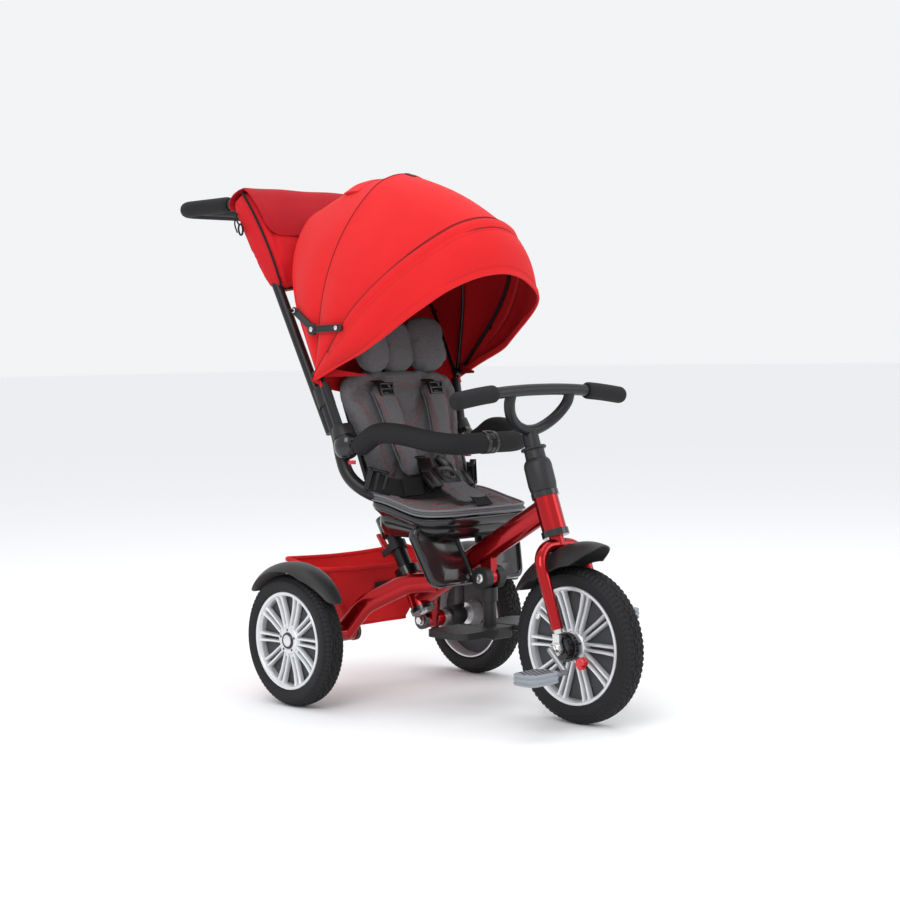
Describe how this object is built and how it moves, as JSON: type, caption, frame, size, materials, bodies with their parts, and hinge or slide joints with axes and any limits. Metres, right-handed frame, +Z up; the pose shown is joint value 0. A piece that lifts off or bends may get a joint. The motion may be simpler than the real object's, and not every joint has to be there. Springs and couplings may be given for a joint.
{
  "type": "children's tricycle",
  "caption": "Push-along children's tricycle with folding canopy, padded seat, safety bumper, telescoping push bar, pedals and rear basket.",
  "frame": {"origin": "on the ground under the middle of the overall length and width", "axes": "+Z up, the tricycle faces -Y, its right-hand side is -X"},
  "size_m": [0.538, 1.1174, 1.006],
  "materials": {
    "red_paint": "gloss metallic red lacquer",
    "black_paint": "satin black powder coat",
    "zinc": "bright zinc plate",
    "silver_plastic": "silver painted plastic",
    "tyre": "moulded tread",
    "black_gloss": "high gloss black",
    "black_plastic": "fine grained black",
    "grey_plastic": "grained grey",
    "red_plastic": "gloss red",
    "foam": "closed-cell foam grip",
    "red_fabric": "plain woven polyester",
    "grey_fabric": "melange woven polyester"
  },
  "bodies": {
    "frame": {"main_tube": "red_paint", "head_tube": "red_paint", "headset_rings": "black_plastic", "rear_arms": "red_paint", "rear_axles": "zinc", "frame_caps": "black_gloss", "seat_tube": "red_paint", "rear_fenders": "black_plastic", "footrest_bracket": "red_paint", "basket": "red_fabric", "basket_hanger": "black_plastic"},
    "steering": {"fork": "red_paint", "fork_tips": "zinc", "stem": "black_plastic", "handlebar": "black_paint", "grips": "foam", "front_fender": "black_plastic"},
    "front_wheel": {"front_tyre": "tyre", "front_rim": "silver_plastic", "front_hub": "black_gloss"},
    "clutch": {"clutch_lever": "red_plastic"},
    "cranks": {"crank": "zinc"},
    "pedal_right": {"pedal_right": "grey_plastic"},
    "pedal_left": {"pedal_left": "grey_plastic"},
    "rear_wheel_right": {"rear_tyre_right": "tyre", "rear_rim_right": "silver_plastic"},
    "rear_wheel_left": {"rear_tyre_left": "tyre", "rear_rim_left": "silver_plastic"},
    "footrest": {"footrest_post": "black_plastic"},
    "foot_plate_right": {"foot_plate_right": "black_plastic"},
    "foot_plate_left": {"foot_plate_left": "black_plastic"},
    "seat_lever": {"seat_lever": "red_plastic"},
    "seat": {"seat_post": "black_paint", "seat_clamp": "black_plastic", "seat_shell": "black_gloss", "seat_pad": "grey_fabric", "calf_panels": "black_gloss", "backrest_pad": "grey_fabric", "backrest_shell": "black_plastic", "headrest_pad": "grey_fabric", "side_tubes": "black_paint", "bumper_housings": "black_plastic", "canopy_rear_rib": "black_paint", "canopy_curtain": "red_fabric"},
    "push_bar": {"push_bar": "black_paint", "push_grip": "foam", "bag": "red_fabric"},
    "bumper_right": {"bumper_right": "foam"},
    "bumper_left": {"bumper_left": "foam"},
    "button_right": {"release_button_right": "red_plastic"},
    "button_left": {"release_button_left": "red_plastic"},
    "canopy_mid": {"canopy_mid_rib": "black_paint", "canopy_rear_panel": "red_fabric"},
    "canopy_front": {"canopy_front_rib": "black_paint", "canopy_front_panel": "red_fabric", "canopy_visor": "red_fabric"},
    "brace_rear_right": {"brace_rear_right": "black_plastic"},
    "brace_rear_left": {"brace_rear_left": "black_plastic"},
    "brace_front_right": {"brace_front_right": "black_plastic"},
    "brace_front_left": {"brace_front_left": "black_plastic"}
  },
  "joints": [
    {"name": "steering_turn", "type": "hinge", "parent": "frame", "child": "steering", "pos_m": [0, -0.33475, 0.42], "axis": [0, 0.3338, 0.9426], "range_deg": [-35, 35]},
    {"name": "front_wheel_spin", "type": "hinge", "parent": "steering", "child": "front_wheel", "pos_m": [0, -0.41875, 0.14], "axis": [1, 0, 0], "continuous": true},
    {"name": "crank_spin", "type": "hinge", "parent": "steering", "child": "cranks", "pos_m": [0, -0.41875, 0.14], "axis": [1, 0, 0], "continuous": true},
    {"name": "clutch_turn", "type": "hinge", "parent": "front_wheel", "child": "clutch", "pos_m": [0, -0.41875, 0.14], "axis": [1, 0, 0], "range_deg": [0, 25]},
    {"name": "pedal_right_spin", "type": "hinge", "parent": "cranks", "child": "pedal_right", "pos_m": [-0.15, -0.45575, 0.105], "axis": [1, 0, 0], "continuous": true},
    {"name": "pedal_left_spin", "type": "hinge", "parent": "cranks", "child": "pedal_left", "pos_m": [0.15, -0.38175, 0.175], "axis": [1, 0, 0], "continuous": true},
    {"name": "rear_wheel_right_spin", "type": "hinge", "parent": "frame", "child": "rear_wheel_right", "pos_m": [-0.237, 0.08925, 0.125], "axis": [1, 0, 0], "continuous": true},
    {"name": "rear_wheel_left_spin", "type": "hinge", "parent": "frame", "child": "rear_wheel_left", "pos_m": [0.237, 0.08925, 0.125], "axis": [1, 0, 0], "continuous": true},
    {"name": "footrest_swing", "type": "hinge", "parent": "frame", "child": "footrest", "pos_m": [0, -0.19475, 0.243], "axis": [1, 0, 0], "range_deg": [0, 30]},
    {"name": "foot_plate_right_fold", "type": "hinge", "parent": "footrest", "child": "foot_plate_right", "pos_m": [-0.033, -0.19475, 0.148], "axis": [0, 1, 0], "range_deg": [0, 85]},
    {"name": "foot_plate_left_fold", "type": "hinge", "parent": "footrest", "child": "foot_plate_left", "pos_m": [0.033, -0.19475, 0.148], "axis": [0, -1, 0], "range_deg": [0, 85]},
    {"name": "seat_lever_turn", "type": "hinge", "parent": "seat", "child": "seat_lever", "pos_m": [0, 0.08484, 0.26864], "axis": [-1, 0, 0], "range_deg": [0, 50]},
    {"name": "seat_height", "type": "slide", "parent": "frame", "child": "seat", "axis": [0, 0.512, 0.859], "range_m": [0, 0.04]},
    {"name": "push_bar_slide", "type": "slide", "parent": "seat", "child": "push_bar", "axis": [0, 0.4787, 0.878], "range_m": [0, 0.06]},
    {"name": "bumper_right_swing", "type": "hinge", "parent": "seat", "child": "bumper_right", "pos_m": [-0.152, 0.01325, 0.486], "axis": [0, 0, -1], "range_deg": [0, 90]},
    {"name": "bumper_left_swing", "type": "hinge", "parent": "seat", "child": "bumper_left", "pos_m": [0.152, 0.01325, 0.486], "axis": [0, 0, 1], "range_deg": [0, 90]},
    {"name": "button_right_press", "type": "slide", "parent": "seat", "child": "button_right", "axis": [0, 0, 1], "range_m": [0, 0.0024], "stiffness_N_per_m": 400},
    {"name": "button_left_press", "type": "slide", "parent": "seat", "child": "button_left", "axis": [0, 0, 1], "range_m": [0, 0.0024], "stiffness_N_per_m": 400},
    {"name": "canopy_mid_fold", "type": "hinge", "parent": "seat", "child": "canopy_mid", "pos_m": [0, 0.07125, 0.622], "axis": [-1, 0, 0], "range_deg": [0, 26.5], "deforming": ["canopy_rear_panel"]},
    {"name": "canopy_front_fold", "type": "hinge", "parent": "canopy_mid", "child": "canopy_front", "pos_m": [0, 0.07125, 0.622], "axis": [-1, 0, 0], "range_deg": [0, 31.5], "deforming": ["canopy_front_panel"]},
    {"name": "brace_rear_right_fold", "type": "hinge", "parent": "seat", "child": "brace_rear_right", "pos_m": [-0.202, 0.12915, 0.74616], "axis": [1, 0, 0], "range_deg": [0, 40]},
    {"name": "brace_front_right_fold", "type": "hinge", "parent": "brace_rear_right", "child": "brace_front_right", "pos_m": [-0.206, 0.05625, 0.709], "axis": [-1, 0, 0], "range_deg": [0, 134]},
    {"name": "brace_rear_left_fold", "type": "hinge", "parent": "seat", "child": "brace_rear_left", "pos_m": [0.202, 0.12915, 0.74616], "axis": [1, 0, 0], "range_deg": [0, 40]},
    {"name": "brace_front_left_fold", "type": "hinge", "parent": "brace_rear_left", "child": "brace_front_left", "pos_m": [0.206, 0.05625, 0.709], "axis": [-1, 0, 0], "range_deg": [0, 134]}
  ],
  "couplings": [
    {"joint": "crank_spin", "follows": "front_wheel_spin", "ratio": 1},
    {"joint": "canopy_front_fold", "follows": "canopy_mid_fold", "ratio": 1.1887},
    {"joint": "brace_rear_right_fold", "follows": "canopy_mid_fold", "ratio": 1.4755},
    {"joint": "brace_front_right_fold", "follows": "canopy_mid_fold", "ratio": 5.0076},
    {"joint": "brace_rear_left_fold", "follows": "canopy_mid_fold", "ratio": 1.4755},
    {"joint": "brace_front_left_fold", "follows": "canopy_mid_fold", "ratio": 5.0076}
  ]
}
